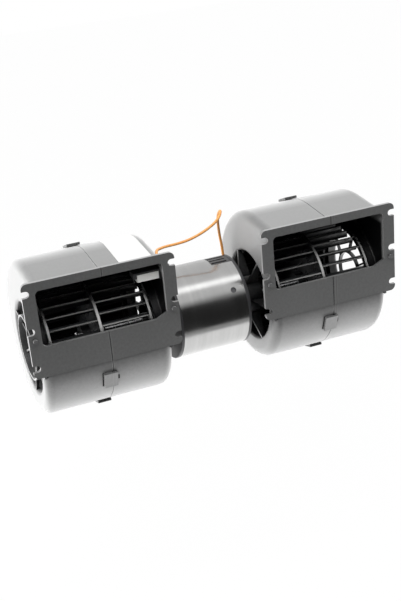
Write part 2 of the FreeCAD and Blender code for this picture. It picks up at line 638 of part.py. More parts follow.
    # snap clips: tongues on the left half reach over the joint, to holes in the right half
    for name, arc, where in (("front", "first", "dims.front_clip_at"),
                             ("low", "first", "dims.low_clip_at"),
                             ("top", "third", "dims.top_clip_at")):
        if left_half:
            start = "dims.seam_from_left - dims.clip_before"
            lugs = (("_root", start, "-dims.clip_root", "dims.clip_before - dims.clip_slot"),
                    ("_tongue", start, "dims.clip_air",
                     "dims.clip_before + dims.clip_past"))
            cut = ("_slot", start + " - dims.clip_back", "dims.clip_back", "dims.clip_half")
        else:
            lugs = ()
            cut = ("_catch", "dims.seam_from_left + dims.clip_past", "dims.catch_long",
                   "dims.catch_half")
        for ending, plane, base, length in lugs:
            lug = new_sketch(body, name + ending, "YZ_Plane", plane)
            outline(lug, [rim_point(arc, where, base, "-dims.clip_half"),
                          rim_point(arc, where, "dims.clip_rise", "-dims.clip_half"),
                          rim_point(arc, where, "dims.clip_rise", "dims.clip_half"),
                          rim_point(arc, where, base, "dims.clip_half")])
            pad(body, name + ending + "_pad", lug, length)
        ending, plane, length, half = cut
        gap = new_sketch(body, name + ending, "YZ_Plane", plane)
        deep = "-(dims.wall + dims.over)"
        outline(gap, [rim_point(arc, where, deep, "-" + half),
                      rim_point(arc, where, "dims.over", "-" + half),
                      rim_point(arc, where, "dims.over", half),
                      rim_point(arc, where, deep, half)])
        pocket(body, name + ending + "_cut", gap, length, along=True)
    return body


def wheel(label, base_x, phase):
    """A double-width wheel: middle disc with hub, two end rings, and two rows of
    forward-curved blades set half a pitch apart."""
    body = new_body(label, base_x)
    bore = "dims.shaft_radius + dims.seat_play"
    left_face = "dims.wheel_mid - dims.disc_thick / 2"
    right_face = "dims.wheel_mid + dims.disc_thick / 2"
    turned(body, "disc", [
        ("dims.wheel_mid - dims.wheel_hub_short", bore),
        ("dims.wheel_mid - dims.wheel_hub_short", "dims.wheel_hub"),
        (left_face, "dims.wheel_hub"),
        (left_face, "dims.wheel_radius"),
        (right_face, "dims.wheel_radius"),
        (right_face, "dims.wheel_hub"),
        ("dims.wheel_mid + dims.wheel_hub_long", "dims.wheel_hub"),
        ("dims.wheel_mid + dims.wheel_hub_long", bore),
    ])
    length = "(dims.wheel_mid - dims.wheel_start)"
    pitch = "180 / dims.blade_count"
    for name, start, spin in (("left", "dims.wheel_start + dims.knit", phase),
                              ("right", right_face + " - dims.knit",
                               phase + " + " + pitch)):
        blade = new_sketch(body, name + "_blade", "YZ_Plane", start, V(0, 0, 1), spin)
        ends = []
        for radius in ("(dims.blade_curve - dims.blade_thick / 2)",
                       "(dims.blade_curve + dims.blade_thick / 2)"):
            for angle in ("dims.blade_from", "dims.blade_to"):
                ends.append(("dims.blade_centre_out + %s * cos(%s)" % (radius, angle),
                             "dims.blade_centre_fore + %s * sin(%s)" % (radius, angle)))
        centre = ("dims.blade_centre_out", "dims.blade_centre_fore")
        outline(blade, [ends[0] + centre + (1,), ends[1],
                        ends[3] + centre + (-1,), ends[2]])
        one = pad(body, name + "_first_blade", blade, length + " - dims.disc_thick / 2")
        round_pattern(body, name + "_blades", [one], "dims.blade_count")
    end = "2 * dims.wheel_mid - dims.wheel_start"
    for name, near, far in (
            ("left_ring", "dims.wheel_start", "dims.wheel_start + dims.ring_thick"),
            ("right_ring", end + " - dims.ring_thick", end)):
        turned(body, name, [(near, "dims.ring_inner"), (near, "dims.wheel_radius"),
                            (far, "dims.wheel_radius"), (far, "dims.ring_inner")])
    return body


# housings
LEFT_OUTER = half_shell("left_outer_shell", LEFT_BASE, True, "dims.left_guard_drop")
LEFT_INNER = half_shell("left_inner_shell", LEFT_BASE, False)
RIGHT_INNER = half_shell("right_inner_shell", RIGHT_BASE, True)
RIGHT_OUTER = half_shell("right_outer_shell", RIGHT_BASE, False, "dims.right_guard_drop")

# port for the resistor's holder in the side wall next to the motor
HOLDER_LOW = "dims.resistor_base - dims.holder_floor"
HOLDER_HIGH = "dims.resistor_base + dims.resistor_high + dims.tray_thick"
HOLDER_NEAR = "-dims.resistor_back"
HOLDER_FAR = "-dims.resistor_back - dims.resistor_deep"
port = new_sketch(LEFT_INNER, "resistor_port", "YZ_Plane",
                  "dims.flange_width - dims.side_inset")
box_outline(port, HOLDER_FAR + " - dims.holder_play", HOLDER_NEAR + " + dims.holder_play",
            HOLDER_LOW + " - dims.holder_play", HOLDER_HIGH + " + dims.holder_play")
pocket(LEFT_INNER, "resistor_hole", port, "dims.wall + dims.over")

# wheels and the spring rings that clamp their hubs on the shaft
wheel("left_wheel", LEFT_BASE, "dims.left_phase")
wheel("right_wheel", RIGHT_BASE, "dims.right_phase")
for label, base_x in (("left_wheel_clip", LEFT_BASE), ("right_wheel_clip", RIGHT_BASE)):
    ring = new_body(label, base_x)
    start = ("dims.wheel_mid + dims.wheel_hub_long - dims.clip_ring_wide"
             " - dims.clip_ring_set")
    bore = "dims.wheel_hub + dims.seat_play"
    turned(ring, "band", [(start, bore), (start, bore + " + dims.clip_ring"),
                          (start + " + dims.clip_ring_wide", bore + " + dims.clip_ring"),
                          (start + " + dims.clip_ring_wide", bore)])

# shaft with chamfered ends
shaft = new_body("motor_shaft")
turned(shaft, "rod", [("-dims.shaft_left", "0"),
                      ("-dims.shaft_left", "dims.shaft_radius - dims.shaft_bevel"),
                      ("-dims.shaft_left + dims.shaft_bevel", "dims.shaft_radius"),
                      ("dims.shaft_right - dims.shaft_bevel", "dims.shaft_radius"),
                      ("dims.shaft_right", "dims.shaft_radius - dims.shaft_bevel"),
                      ("dims.shaft_right", "0")])

# armature: slotted core, end turns of the winding and commutator
SHAFT_SEAT = "dims.shaft_radius + dims.seat_play"
core = new_body("armature_core")
turned(core, "stack", [("dims.core_left", SHAFT_SEAT), ("dims.core_left", "dims.core_radius"),
                       ("dims.core_right", "dims.core_radius"),
                       ("dims.core_right", SHAFT_SEAT)])
slot = new_sketch(core, "slot", "YZ_Plane", "dims.core_left")
box_outline(slot, "-dims.slot_wide / 2", "dims.slot_wide / 2",
            "dims.core_radius - dims.slot_deep", "dims.core_radius + dims.over")
first_slot = pocket(core, "first_slot", slot, "dims.core_right - dims.core_left", along=True)
round_pattern(core, "slots", [first_slot], "dims.slot_count")

coils = new_body("armature_windings", loose=True)
for name, near, far in (
        ("left_turns", "dims.core_left - dims.coil_length", "dims.core_left"),
        ("right_turns", "dims.core_right", "dims.core_right + dims.coil_length")):
    turned(coils, name, [(near, "dims.coil_bore"), (near, "dims.coil_radius"),
                         (far, "dims.coil_radius"), (far, "dims.coil_bore")])
bar = new_sketch(coils, "slot_turns", "YZ_Plane", "dims.core_left - dims.coil_length / 2")
box_outline(bar, "dims.coil_play - dims.slot_wide / 2",
            "dims.slot_wide / 2 - dims.coil_play",
            "dims.core_radius - dims.slot_deep + dims.coil_play",
            "dims.coil_radius - dims.knit")
first_bar = pad(coils, "first_bar", bar,
                "dims.core_right - dims.core_left + dims.coil_length")
round_pattern(coils, "bars", [first_bar], "dims.slot_count")

commutator = new_body("commutator")
turned(commutator, "drum", [
    ("dims.commutator_left", SHAFT_SEAT),
    ("dims.commutator_left", "dims.commutator_radius"),
    ("dims.core_left - dims.coil_length - dims.coil_gap", "dims.commutator_radius"),
    ("dims.core_left - dims.coil_length - dims.coil_gap", SHAFT_SEAT)])

# steel can: rolled tube with a round hole in front and a vent notch on top
can = new_body("motor_can")
CAN_BORE = "(dims.can_radius - dims.can_wall)"
CAN_SEAT = "(dims.can_radius - dims.can_wall - dims.seat_play)"
turned(can, "tube", [("-dims.can_left", CAN_BORE), ("-dims.can_left", "dims.can_radius"),
                     ("dims.can_right", "dims.can_radius"), ("dims.can_right", CAN_BORE)])
hole = new_sketch(can, "round_hole", "XZ_Plane", "0", V(1, 0, 0), "-dims.can_hole_at")
circle(hole, "dims.can_hole_x", "0", "dims.can_hole")
pocket(can, "round_hole_cut", hole, "dims.can_radius + dims.over", along=True)
notch = new_sketch(can, "vent_notch", "XY_Plane")
box_outline(notch, "dims.window_start", "dims.can_right + dims.over",
            "-dims.window_half", "dims.window_half")
pocket(can, "vent_notch_cut", notch, "dims.can_radius + dims.over", along=True)


def arc_band(sketch, low, high, half_width):
    """A band between two radii about the axis, half_width to each side of the top."""
    outline(sketch, [
        (half_width, "sqrt((%s) ^ 2 - (%s) ^ 2)" % (low, half_width)),
        (half_width, "sqrt((%s) ^ 2 - (%s) ^ 2)" % (high, half_width), "0", "0", 1),
        ("-(%s)" % half_width, "sqrt((%s) ^ 2 - (%s) ^ 2)" % (high, half_width)),
        ("-(%s)" % half_width, "sqrt((%s) ^ 2 - (%s) ^ 2)" % (low, half_width),
         "0", "0", -1),
    ])


# ribbed vent insert: its skirt bears on the can from inside and its face fills the notch
vent = new_body("vent_insert")
VENT_LOW = "dims.can_radius - dims.can_wall - dims.vent_skirt"
VENT_END = "(dims.can_right - dims.plate_spigot - dims.vent_play)"
skirt = new_sketch(vent, "skirt", "YZ_Plane", "dims.window_start - dims.vent_skirt")
arc_band(skirt, VENT_LOW, CAN_SEAT, "(dims.window_half + dims.vent_skirt)")
pad(vent, "skirt_band", skirt, VENT_END + " - dims.window_start + dims.vent_skirt")
face = new_sketch(vent, "face", "YZ_Plane", "dims.window_start + dims.vent_play")
arc_band(face, VENT_LOW, "dims.can_radius - dims.vent_set",
         "(dims.window_half - dims.vent_play)")
pad(vent, "face_band", face, VENT_END + " - dims.window_start - dims.vent_play")
brow = new_sketch(vent, "brow", "YZ_Plane", VENT_END + " - dims.knit")
arc_band(brow, CAN_BORE, "dims.can_radius - dims.vent_set",
         "(dims.window_half - dims.vent_play)")
pad(vent, "brow_band", brow, "dims.plate_spigot + dims.knit")
for name, place in (("front", "-dims.vent_pitch"), ("middle", "0"),
                    ("rear", "dims.vent_pitch")):
    slit = new_sketch(vent, name + "_slit", "XY_Plane")
    box_outline(slit, "dims.window_start + dims.vent_edge", VENT_END + " - dims.vent_edge",
                place + " - dims.vent_slot / 2", place + " + dims.vent_slot / 2")
    pocket(vent, name + "_slit_cut", slit, "dims.can_radius + dims.over", along=True)

# both ends of the motor: end plate, bearing boss, bearing, rubber ring and screws
for side, sign in (("left", "-"), ("right", "")):
    def out(*terms):
        return sign + "(" + " + ".join(terms) + ")"

    end = "dims.can_" + side
    inner_face = out(end)
    outer_face = out(end, "dims.plate_thick")
    boss_end = out("dims.flange_gap / 2", "dims.side_inset", "-dims.hub_rise",
                   "-dims.rubber_thick")
    ring_end = out("dims.flange_gap / 2", "dims.side_inset", "-dims.hub_rise")
    seat_face = boss_end + (" + " if side == "left" else " - ") + "dims.bearing_wide"

    plate = new_body(side + "_end_plate")
    turned(plate, "disc", [
        (outer_face, "dims.boss_spigot"),
        (outer_face, "dims.can_radius - dims.plate_bevel"),
        (out(end, "dims.plate_thick", "-dims.plate_bevel"), "dims.can_radius"),
        (inner_face, "dims.can_radius"),
        (inner_face, CAN_SEAT),
        (out(end, "-dims.plate_spigot"), CAN_SEAT),
        (out(end, "-dims.plate_spigot"), CAN_SEAT + " - dims.spigot_thick"),
        (inner_face, CAN_SEAT + " - dims.spigot_thick"),
        (inner_face, "dims.boss_spigot"),
    ])

    boss = new_body(side + "_bearing_housing")
    turned(boss, "cup", [
        (inner_face, "dims.boss_bore"),
        (inner_face, "dims.boss_spigot - dims.seat_play"),
        (outer_face, "dims.boss_spigot - dims.seat_play"),
        (outer_face, "dims.boss_radius"),
        (boss_end, "dims.boss_radius"),
        (boss_end, "dims.bearing_radius + dims.seat_play"),
        (seat_face, "dims.bearing_radius + dims.seat_play"),
        (seat_face, "dims.boss_bore"),
    ])
    tapped = new_sketch(boss, "tapped_hole", "YZ_Plane", boss_end)
    circle(tapped, "0", "dims.screw_circle", "dims.screw_radius + dims.seat_play")
    first_tapped = pocket(boss, "first_tapped_hole", tapped,
                          "dims.screw_bite + dims.screw_spare",
                          along=side == "left")
    round_pattern(boss, "tapped_holes", [first_tapped], "dims.screws")

    bearing = new_body(side + "_bearing")
    step = "(dims.bearing_radius - dims.shaft_radius) / 3"
    shy = " + dims.shield_set" if side == "left" else " - dims.shield_set"
    deep = " - dims.shield_set" if side == "left" else " + dims.shield_set"
    bore = "dims.shaft_radius + dims.run_play"
    turned(bearing, "race", [
        (boss_end, bore),
        (boss_end, "dims.shaft_radius + " + step),
        (boss_end + shy, "dims.shaft_radius + " + step),
        (boss_end + shy, "dims.bearing_radius - " + step),
        (boss_end, "dims.bearing_radius - " + step),
        (boss_end, "dims.bearing_radius"),
        (seat_face, "dims.bearing_radius"),
        (seat_face, "dims.bearing_radius - " + step),
        (seat_face + deep, "dims.bearing_radius - " + step),
        (seat_face + deep, "dims.shaft_radius + " + step),
        (seat_face, "dims.shaft_radius + " + step),
        (seat_face, bore),
    ])

    ring = new_body(side + "_rubber_ring")
    turned(ring, "ring", [(boss_end, "dims.ring_bore"), (boss_end, "dims.ring_radius"),
                          (ring_end, "dims.ring_radius"), (ring_end, "dims.ring_bore")])
    through = new_sketch(ring, "screw_hole", "YZ_Plane", boss_end)
    circle(through, "0", "dims.screw_circle", "dims.screw_hole")
    first_through = pocket(ring, "first_hole", through, "dims.flange_gap",
                           along=side == "right")
    round_pattern(ring, "holes", [first_through], "dims.screws")

    screws = new_body(side + "_motor_screws", loose=True)
    under_head = out("dims.flange_gap / 2", "dims.side_inset", "-dims.hub_rise",
                     "dims.hub_plate")
    shank = new_sketch(screws, "shank", "YZ_Plane", under_head)
    circle(shank, "0", "dims.screw_circle", "dims.screw_radius")
    reach = "dims.hub_plate + dims.rubber_thick + dims.screw_bite"
    first_shank = pad(screws, "first_shank", shank, reach, back=side == "right")
    cap = new_sketch(screws, "head", "YZ_Plane", under_head)
    circle(cap, "0", "dims.screw_circle", "dims.screw_head")
    first_cap = pad(screws, "first_head", cap, "dims.screw_head_high", back=side == "left")
    round_pattern(screws, "set", [first_shank, first_cap], "dims.screws")

# permanent magnets, bonded to the can in front and behind
for label, front in (("front_magnet", True), ("rear_magnet", False)):
    magnet = new_body(label)
    turned(magnet, "arc", [("dims.magnet_left", "dims.magnet_inner"),
                           ("dims.magnet_left", CAN_SEAT),
                           ("dims.magnet_right", CAN_SEAT),
                           ("dims.magnet_right", "dims.magnet_inner")],
           "dims.magnet_angle", middle=True, front=front)

# brush card against the left end plate's spigot, with its two moulded brush guides
CARD_LEFT = "(dims.plate_spigot - dims.can_left)"
CARD_RIGHT = "(dims.plate_spigot - dims.can_left + dims.card_thick)"
BRUSH_X = "(dims.core_left - dims.coil_length + dims.commutator_left) / 2"
GUIDE_HOLE = "(dims.brush_half + dims.brush_play)"
card = new_body("brush_card")
turned(card, "plate", [(CARD_LEFT, "dims.card_bore"), (CARD_LEFT, "dims.card_radius"),
                       (CARD_RIGHT, "dims.card_radius"), (CARD_RIGHT, "dims.card_bore")])
for name, sign in (("upper", ""), ("lower", "-")):
    guide = new_sketch(card, name + "_guide", "XY_Plane", sign + "dims.guide_from")
    box_outline(guide, CARD_RIGHT + " - dims.card_thick / 2",
                "dims.core_left - dims.coil_length - dims.guide_gap",
                "-dims.guide_half", "dims.guide_half")
    pad(card, name + "_guide_block", guide, "dims.guide_to - dims.guide_from",
        back=sign == "-")
    well = new_sketch(card, name + "_well", "XY_Plane", sign + "dims.guide_from")
    box_outline(well, BRUSH_X + " - " + GUIDE_HOLE, BRUSH_X + " + " + GUIDE_HOLE,
                "-" + GUIDE_HOLE, GUIDE_HOLE)
    pocket(card, name + "_guide_well", well,
           "dims.guide_to - dims.guide_from - dims.guide_cap", along=sign == "")
    brush = new_body(name + "_brush")
    tip = sign + "(dims.commutator_radius + dims.brush_gap)"
    square = new_sketch(brush, "section", "XY_Plane", tip)
    box_outline(square, BRUSH_X + " - dims.brush_half", BRUSH_X + " + dims.brush_half",
                "-dims.brush_half", "dims.brush_half")
    pad(brush, "carbon", square, "dims.brush_long", back=sign == "-")
    spring = new_body(name + "_brush_spring")
    coil = new_sketch(spring, "section", "XY_Plane",
                      sign + "(dims.commutator_radius + dims.brush_gap + dims.brush_long)")
    circle(coil, BRUSH_X, "0", "dims.spring_outer")
    circle(coil, BRUSH_X, "0", "dims.spring_inner")
    pad(spring, "coil", coil, "dims.guide_to - dims.guide_cap - dims.commutator_radius"
        " - dims.brush_gap - dims.brush_long", back=sign == "-")

# speed resistor under a tray in the left outlet, on a holder pushed in from the motor side
SIDE_X = "(-dims.flange_gap / 2 - dims.side_inset)"
INSIDE_X = "(-dims.flange_gap / 2 - dims.side_inset - dims.wall - dims.neck_reach)"
holder = new_body("resistor_holder")
outer_block = new_sketch(holder, "outer_block", "YZ_Plane", SIDE_X)
box_outline(outer_block, HOLDER_FAR + " - dims.holder_margin",
            HOLDER_NEAR + " + dims.holder_margin",
            HOLDER_LOW + " - dims.holder_margin", HOLDER_HIGH + " + dims.holder_margin")
pad(holder, "block", outer_block, "dims.holder_out")
neck = new_sketch(holder, "neck", "YZ_Plane", SIDE_X)
box_outline(neck, HOLDER_FAR, HOLDER_NEAR, HOLDER_LOW, HOLDER_HIGH)
pad(holder, "neck_block", neck, "dims.wall + dims.neck_reach", back=True)
tray = new_sketch(holder, "tray", "YZ_Plane", INSIDE_X)
box_outline(tray, HOLDER_FAR, HOLDER_NEAR, "dims.resistor_base + dims.resistor_high",
            HOLDER_HIGH)
pad(holder, "tray_plate", tray, "dims.resistor_long + 2 * dims.tray_thick", back=True)
hook = new_sketch(holder, "hook", "YZ_Plane",
                  INSIDE_X + " - dims.resistor_long - dims.resistor_fit")
box_outline(hook, HOLDER_FAR, HOLDER_NEAR, "dims.resistor_base + dims.resistor_high / 2",
            HOLDER_HIGH)
pad(holder, "hook_lip", hook, "2 * dims.tray_thick - dims.resistor_fit", back=True)

block = new_body("resistor_block")
section = new_sketch(block, "section", "YZ_Plane", INSIDE_X)
box_outline(section, HOLDER_FAR + " + dims.resistor_lip",
            HOLDER_NEAR + " - dims.resistor_lip", "dims.resistor_base",
            "dims.resistor_base + dims.resistor_high")
pad(block, "ceramic", section, "dims.resistor_long", back=True)

plug = new_body("lead_plug")
section = new_sketch(plug, "section", "YZ_Plane", SIDE_X + " + dims.plug_set")
box_outline(section, HOLDER_NEAR + " + dims.holder_margin",
            HOLDER_NEAR + " + dims.holder_margin + dims.plug_long",
            "dims.plug_top - dims.plug_high", "dims.plug_top")
pad(plug, "shell", section, "dims.holder_out - 2 * dims.plug_set")

grommet = new_body("lead_grommet")
section = new_sketch(grommet, "section", "YZ_Plane", "dims.can_right + dims.plate_thick")
circle(section, "dims.grommet_y", "dims.grommet_z", "dims.grommet_radius")
pad(grommet, "button", section, "dims.grommet_long")

# label on the left housing: flat on the duct's top wall, then round the rim
label = new_body("label", LEFT_BASE)
strip = new_sketch(label, "strip", "YZ_Plane", "dims.label_left")
outline(strip, [
    rim_point("third", "dims.top_turn", "0", "dims.label_run"),
    rim_point("third", "dims.top_turn", "dims.label_thick", "dims.label_run"),
    rim_point("third", "dims.top_turn", "dims.label_thick", "0")
    + ARC_CENTRES["third"][:2] + (-1,),
    rim_point("third", "dims.label_end_at", "dims.label_thick", "0"),
    rim_point("third", "dims.label_end_at", "0", "0") + ARC_CENTRES["third"][:2] + (1,),
    rim_point("third", "dims.top_turn", "0", "0"),
])
pad(label, "sheet", strip, "dims.label_wide")

# orange lead from the motor up in a narrow loop and down to the resistor's plug
LEAD_ROUTE = [(36.5, 33.0, 12.0), (42.2, 33.0, 12.0), (41.6, 33.0, 21.5), (39.4, 33.0, 31.0),
              (38.6, 32.6, 42.9), (36.6, 30.6, 52.5), (34.6, 27.0, 62.0), (32.6, 22.6, 70.5),
              (31.2, 17.6, 78.0), (30.6, 11.8, 84.5), (29.2, 4.2, 87.6), (26.0, -1.2, 85.3),
              (20.5, -3.8, 80.8), (12.5, -4.1, 76.2), (2.5, -3.3, 71.6), (-8.5, -1.6, 67.8),
              (-20.0, -0.8, 66.6), (-31.5, -4.5, 68.0), (-40.5, -11.5, 69.6),
              (-45.0, -19.0, 71.2), (-46.7, -24.6, 69.6), (-47.0, -27.8, 65.6),
              (-47.0, -27.8, 61.0)]


def arc_route(points):
    """Straight runs joined by tangent arcs, each as large as its two runs allow."""
    edges = []
    radii = []
    last = points[0]
    for before, corner, after in zip(points, points[1:], points[2:]):
        come = (corner - before).normalize()
        leave = (after - corner).normalize()
        half_turn = come.getAngle(leave) / 2
        setback = 0.45 * min((corner - before).Length, (after - corner).Length)
        radii.append(setback / math.tan(half_turn))
        start = corner - come * setback
        end = corner + leave * setback
        inward = (leave - come).normalize()
        middle = corner + inward * (radii[-1] / math.cos(half_turn) - radii[-1])
        edges.append(Part.LineSegment(last, start).toShape())
        edges.append(Part.Arc(start, middle, end).toShape())
        last = end
    edges.append(Part.LineSegment(last, points[-1]).toShape())
    return Part.Wire(edges), radii


route, radii = arc_route([V(*point) for point in LEAD_ROUTE])
print("lead radii:", [round(radius, 1) for radius in radii])
lead_radius = number("dims.lead_radius")
first = V(*LEAD_ROUTE[0])
section = Part.Wire(Part.makeCircle(lead_radius, first, V(*LEAD_ROUTE[1]) - first))
lead = doc.addObject("Part::Feature", "motor_lead")
lead.Label = "motor_lead"
lead.Shape = route.makePipeShell([section], True, True)
lead.Placement = FreeCAD.Placement(V(0, number("dims.flange_front"), 0), FreeCAD.Rotation())
NODES.append(lead)
print("lead length: %.1f, volume over section times length: %.4f"
      % (route.Length, lead.Shape.Volume / (math.pi * lead_radius ** 2 * route.Length)))

doc.recompute()
for item in doc.Objects:
    if "Invalid" in item.State or "Error" in item.State:
        raise RuntimeError("failed: " + item.Name + " " + item.getStatusString())
for node in NODES:
    if node.Shape.isNull() or not node.Shape.isValid():
        raise RuntimeError("bad shape: " + node.Label)
os.makedirs("parts", exist_ok=True)
for node in NODES:
    node.Shape.exportStep("parts/" + node.Label + ".step")
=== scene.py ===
import math

import bpy
from mathutils import Matrix, Vector


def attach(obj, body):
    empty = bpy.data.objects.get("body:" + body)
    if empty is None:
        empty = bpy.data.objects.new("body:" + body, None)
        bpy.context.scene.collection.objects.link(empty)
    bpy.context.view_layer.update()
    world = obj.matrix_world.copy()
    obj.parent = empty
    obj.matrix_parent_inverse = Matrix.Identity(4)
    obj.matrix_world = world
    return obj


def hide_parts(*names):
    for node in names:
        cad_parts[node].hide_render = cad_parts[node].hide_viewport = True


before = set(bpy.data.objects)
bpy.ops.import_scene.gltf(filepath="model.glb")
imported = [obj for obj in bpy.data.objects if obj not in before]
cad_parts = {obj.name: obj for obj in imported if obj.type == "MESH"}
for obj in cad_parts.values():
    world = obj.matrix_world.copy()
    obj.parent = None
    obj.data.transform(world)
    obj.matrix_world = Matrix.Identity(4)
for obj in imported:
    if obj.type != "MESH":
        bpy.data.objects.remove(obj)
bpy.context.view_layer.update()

SHAFT_Y = 0.0564   # the shaft lies this far behind the flanges' front plane


# View: a low three-quarter view from the left, over the outlets, with the blower
# tipped a few degrees so that its left end hangs lower in the frame.
def aim(azimuth, elevation, roll):
    """Camera axes: forward from azimuth and elevation, then right and up turned by roll."""
    forward = Vector((math.sin(azimuth) * math.cos(elevation),
                      math.cos(azimuth) * math.cos(elevation), -math.sin(elevation)))
    right = forward.cross(Vector((0, 0, 1))).normalized()
    up = right.cross(forward).normalized()
    turned_right = math.cos(roll) * right + math.sin(roll) * up
    turned_up = -math.sin(roll) * right + math.cos(roll) * up
    return Matrix((turned_right, turned_up, -forward)).transposed()


VIEW_PLACE = (-0.3239, -0.8261, 0.4071)
VIEW_AZIMUTH = math.radians(20.13)
VIEW_ELEVATION = math.radians(23.15)
VIEW_ROLL = math.radians(-5.37)

camera = bpy.data.cameras.new("camera")
camera.lens = 64.75
camera.sensor_width = 36.0
camera.clip_start = 0.01
view_point = bpy.data.objects.new("camera", camera)
view_point.matrix_world = (Matrix.Translation(VIEW_PLACE)
                           @ aim(VIEW_AZIMUTH, VIEW_ELEVATION, VIEW_ROLL).to_4x4())
bpy.context.scene.collection.objects.link(view_point)
bpy.context.scene.camera = view_point


# Lead: one thin orange wire from the motor's right end, up in a narrow loop and down
# to the resistor's plug. It is stiff enough to stand by itself between its two ends.
# The route is in millimetres from the shaft, midway between the flanges.
LEAD_ROUTE = [(36.5, 33.0, 12.0), (42.2, 33.0, 12.0), (41.6, 33.0, 21.5), (39.4, 33.0, 31.0),
              (38.6, 32.6, 42.9), (36.6, 30.6, 52.5), (34.6, 27.0, 62.0), (32.6, 22.6, 70.5),
              (31.2, 17.6, 78.0), (30.6, 11.8, 84.5), (29.2, 4.2, 87.6), (26.0, -1.2, 85.3),
              (20.5, -3.8, 80.8), (12.5, -4.1, 76.2), (2.5, -3.3, 71.6), (-8.5, -1.6, 67.8),
              (-20.0, -0.8, 66.6), (-31.5, -4.5, 68.0), (-40.5, -11.5, 69.6),
              (-45.0, -19.0, 71.2), (-46.7, -24.6, 69.6), (-47.0, -27.8, 65.6),
              (-47.0, -27.8, 61.0)]
LEAD_RADIUS = 0.0013


def new_material(name, colour, roughness, metallic=0.0):
    """A plain surface to start a finish from: its node tree, links and shader."""
    made = bpy.data.materials.new(name)
    made.use_nodes = True
    tree = made.node_tree
    shader = tree.nodes["Principled BSDF"]
    shader.inputs["Base Color"].default_value = (*colour, 1)
    shader.inputs["Roughness"].default_value = roughness
    shader.inputs["Metallic"].default_value = metallic
    return made, tree.nodes, tree.links, shader


def place(nodes, links, stretch=(1, 1, 1)):
    """Object coordinates, stretched by a factor along each axis."""
    where = nodes.new("ShaderNodeTexCoord")
    mapped = nodes.new("ShaderNodeMapping")
    mapped.inputs["Scale"].default_value = stretch
    links.new(where.outputs["Object"], mapped.inputs["Vector"])
    return mapped.outputs["Vector"]


def cloud(nodes, links, vector, scale, detail=3.0, rough=0.5):
    """A noise value from 0 to 1 at a number of features per metre."""
    noise = nodes.new("ShaderNodeTexNoise")
    noise.inputs["Scale"].default_value = scale
    noise.inputs["Detail"].default_value = detail
    noise.inputs["Roughness"].default_value = rough
    links.new(vector, noise.inputs["Vector"])
    return noise.outputs["Fac"]


def spread(nodes, links, value, low, high, to_low, to_high):
    """A value carried from one range to another, held at its ends."""
    ranged = nodes.new("ShaderNodeMapRange")
    for name, number in (("From Min", low), ("From Max", high),
                         ("To Min", to_low), ("To Max", to_high)):
        ranged.inputs[name].default_value = number
    links.new(value, ranged.inputs["Value"])
    return ranged.outputs["Result"]


def tint(nodes, links, value, dark, light):
    """A colour between two, chosen by a value from 0 to 1."""
    mix = nodes.new("ShaderNodeMix")
    mix.data_type = "RGBA"
    mix.inputs["A"].default_value = (*dark, 1)
    mix.inputs["B"].default_value = (*light, 1)
    links.new(value, mix.inputs["Factor"])
    return mix.outputs["Result"]


def relief(nodes, links, shader, height, distance, strength=1.0):
    """Bump from a height value, distance being its depth in metres."""
    bump = nodes.new("ShaderNodeBump")
    bump.inputs["Strength"].default_value = strength
    bump.inputs["Distance"].default_value = distance
    links.new(height, bump.inputs["Height"])
    if shader.inputs["Normal"].is_linked:
        links.new(shader.inputs["Normal"].links[0].from_socket, bump.inputs["Normal"])
    links.new(bump.outputs["Normal"], shader.inputs["Normal"])


def lead_finish():
    """Orange insulation: slight colour drift along the wire and a soft satin gloss."""
    made, nodes, links, shader = new_material("lead_insulation", (0.85, 0.3, 0.06), 0.42)
    drift = cloud(nodes, links, place(nodes, links), 60, 2)
    links.new(tint(nodes, links, drift, (0.86, 0.33, 0.075), (0.98, 0.5, 0.16)),
              shader.inputs["Base Color"])
    links.new(spread(nodes, links, drift, 0.3, 0.7, 0.36, 0.5), shader.inputs["Roughness"])
    relief(nodes, links, shader, cloud(nodes, links, place(nodes, links), 1800, 2), 0.00002)
    return made


wire = bpy.data.curves.new("orange_lead", "CURVE")
wire.dimensions = "3D"
run = wire.splines.new("NURBS")
run.points.add(len(LEAD_ROUTE) - 1)
for point, (x, y, z) in zip(run.points, LEAD_ROUTE):
    point.co = (x / 1000, y / 1000 + SHAFT_Y, z / 1000, 1)
run.order_u = 3
run.use_endpoint_u = True
run.resolution_u = 8
wire.bevel_depth = LEAD_RADIUS
wire.bevel_resolution = 5
wire.use_fill_caps = True
lead = bpy.data.objects.new("orange_lead", wire)
bpy.context.scene.collection.objects.link(lead)
lead.data.materials.append(lead_finish())
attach(lead, "housing")
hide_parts("motor_lead")


# Housings: four glass-filled nylon half shells moulded in fine-grained tools. They are
# black, and their grain turns pale where light grazes it.
JOINTS = (-0.1074, 0.1146)       # where the half shells meet, along x
DUCT_SIDES = (0.0513, 0.1675)    # middles of each duct's side walls, either side of x = 0
DUCT_DEPTH = (0.004, 0.05)       # from behind the mouth to above the shaft
DUCT_HEIGHT = (-0.004, 0.064)    # from the mouth's lower edge to under the rounded corner
BELLMOUTH_RIM = (0.046, 0.047)   # radii between which a bellmouth ends and its wall starts


def paint(node, finish):
    """Give a CAD node one finish."""
    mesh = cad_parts[node].data
    mesh.materials.clear()
    mesh.materials.append(finish)


def openness(nodes, links, reach, low, high):
    """From 0 deep inside a hollow to 1 on a face that lies open, judged over a reach."""
    shade = nodes.new("ShaderNodeAmbientOcclusion")
    shade.samples = 6
    shade.inputs["Distance"].default_value = reach
    return spread(nodes, links, shade.outputs["AO"], low, high, 0.0, 1.0)


def combine(nodes, links, operation, first, second):
    """Two values, or a value and a number, joined by one operation."""
    joined = nodes.new("ShaderNodeMath")
    joined.operation = operation
    for socket, value in zip(joined.inputs, (first, second)):
        if isinstance(value, (int, float)):
            socket.default_value = value
        else:
            links.new(value, socket)
    return joined.outputs["Value"]


